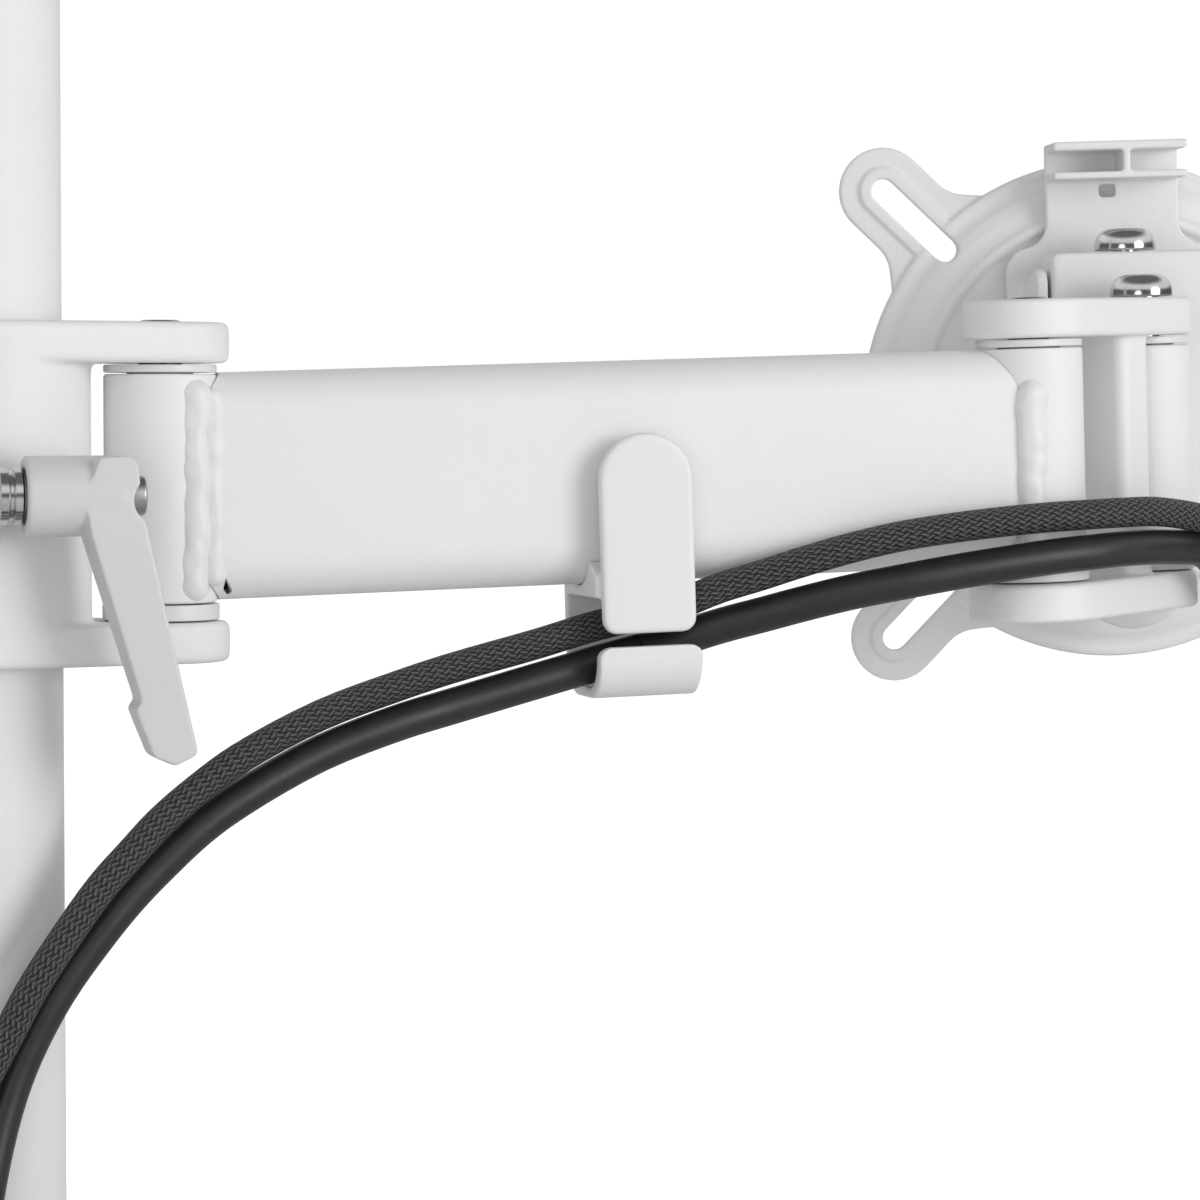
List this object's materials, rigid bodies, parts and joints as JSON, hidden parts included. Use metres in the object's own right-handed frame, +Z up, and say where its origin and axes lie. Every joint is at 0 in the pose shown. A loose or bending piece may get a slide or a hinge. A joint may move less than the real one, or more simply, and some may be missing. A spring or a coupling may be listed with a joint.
{
  "type": "monitor arm",
  "caption": "Pole-mounted monitor arm: desk plate, pole, clamping collar with ratchet lever, swing arm with cable clip, knuckle and a tilting slotted monitor plate.",
  "frame": {"origin": "centre of the round base's underside, where it rests on the desk", "axes": "+Z up along the pole, +X along the swing arm from the pole to the elbow, -Y towards the clamp lever"},
  "size_m": [0.5007, 0.2339, 0.3993],
  "materials": {
    "powder_coat": "fine-textured white powder coat",
    "white_plastic": "smooth satin moulding",
    "nylon": "satin bearing nylon",
    "chrome": "polished",
    "steel": "plain machined",
    "foam_pad": "closed-cell foam",
    "braided_sleeve": "braided polyester sleeve",
    "cable_rubber": "matte cable jacket"
  },
  "bodies": {
    "stand": {"desk_pad": "foam_pad", "base_plate": "powder_coat", "pole_socket": "powder_coat", "socket_screw_1": "steel", "socket_screw_2": "steel", "pole": "powder_coat", "pole_cap": "white_plastic"},
    "carriage": {"height_liner": "nylon"},
    "collar": {"collar": "powder_coat", "shoulder_pin": "steel", "clamp_nut": "steel", "power_coil": "cable_rubber", "video_coil": "braided_sleeve", "video_plug": "cable_rubber", "mains_plug": "cable_rubber", "video_lead_desk": "braided_sleeve", "power_lead_desk": "cable_rubber"},
    "lever_insert": {"lever_stud": "chrome", "lever_screw": "steel", "lever_spring": "steel"},
    "lever_handle": {"clamp_lever": "white_plastic"},
    "arm": {"shoulder_bush": "powder_coat", "shoulder_bearing_top": "nylon", "shoulder_bearing_bottom": "nylon", "arm_tube": "powder_coat", "elbow_bush": "powder_coat", "elbow_bearing_top": "nylon", "elbow_bearing_bottom": "nylon", "cable_clip": "white_plastic", "video_lead_head": "braided_sleeve", "power_lead_head": "cable_rubber"},
    "knuckle": {"knuckle": "powder_coat", "elbow_pin": "steel", "pivot_bolt": "chrome", "pivot_nut": "steel", "video_connector": "cable_rubber", "power_connector": "cable_rubber"},
    "head_block": {"head_block": "powder_coat", "head_bearing_top": "nylon", "head_bearing_bottom": "nylon", "tension_bolt": "chrome", "tension_pad": "nylon"},
    "tilt_bracket": {"tilt_yoke": "powder_coat", "tilt_axle": "steel", "tilt_washer_left": "nylon", "tilt_washer_right": "nylon", "tilt_nut_left": "steel", "tilt_nut_right": "steel", "plate_pivot": "steel", "plate_pivot_nut": "steel", "friction_disc": "nylon"},
    "plate": {"monitor_plate": "powder_coat"}
  },
  "joints": [
    {"name": "height_slide", "type": "slide", "parent": "stand", "child": "carriage", "axis": [0, 0, 1], "range_m": [0, 0.14]},
    {"name": "collar_turn", "type": "hinge", "parent": "carriage", "child": "collar", "pos_m": [0, 0, 0.215], "axis": [0, 0, 1], "range_deg": [-135, 135]},
    {"name": "lever_turn", "type": "hinge", "parent": "collar", "child": "lever_insert", "pos_m": [0.01, -0.034, 0.215], "axis": [1, 0, 0], "range_deg": [-100, 8]},
    {"name": "lever_lift", "type": "slide", "parent": "lever_insert", "child": "lever_handle", "axis": [1, 0, 0], "range_m": [0, 0.003], "stiffness_N_per_m": 600, "springref_m": -0.002, "deforming": ["lever_spring"]},
    {"name": "arm_swing", "type": "hinge", "parent": "collar", "child": "arm", "pos_m": [0.0377, 0, 0.215], "axis": [0, 0, 1], "range_deg": [-70, 90], "deforming": ["video_lead_desk", "power_lead_desk"]},
    {"name": "elbow", "type": "hinge", "parent": "arm", "child": "knuckle", "pos_m": [0.22681, 0, 0.2209], "axis": [-0.0312, 0, 0.9995], "range_deg": [-75, 35], "deforming": ["video_lead_head", "power_lead_head"]},
    {"name": "head_pan", "type": "hinge", "parent": "knuckle", "child": "head_block", "pos_m": [0.26433, 0.02693, 0.22207], "axis": [-0.0312, 0, 0.9995], "range_deg": [-55, 30]},
    {"name": "head_tilt", "type": "hinge", "parent": "head_block", "child": "tilt_bracket", "pos_m": [0.26831, 0.04621, 0.23185], "axis": [-0.9757, 0.2172, -0.0305], "range_deg": [-11, 11]},
    {"name": "plate_rotate", "type": "hinge", "parent": "tilt_bracket", "child": "plate", "pos_m": [0.26831, 0.04621, 0.23185], "axis": [0.217, 0.9761, 0.0068], "range_deg": [-90, 90]}
  ]
}
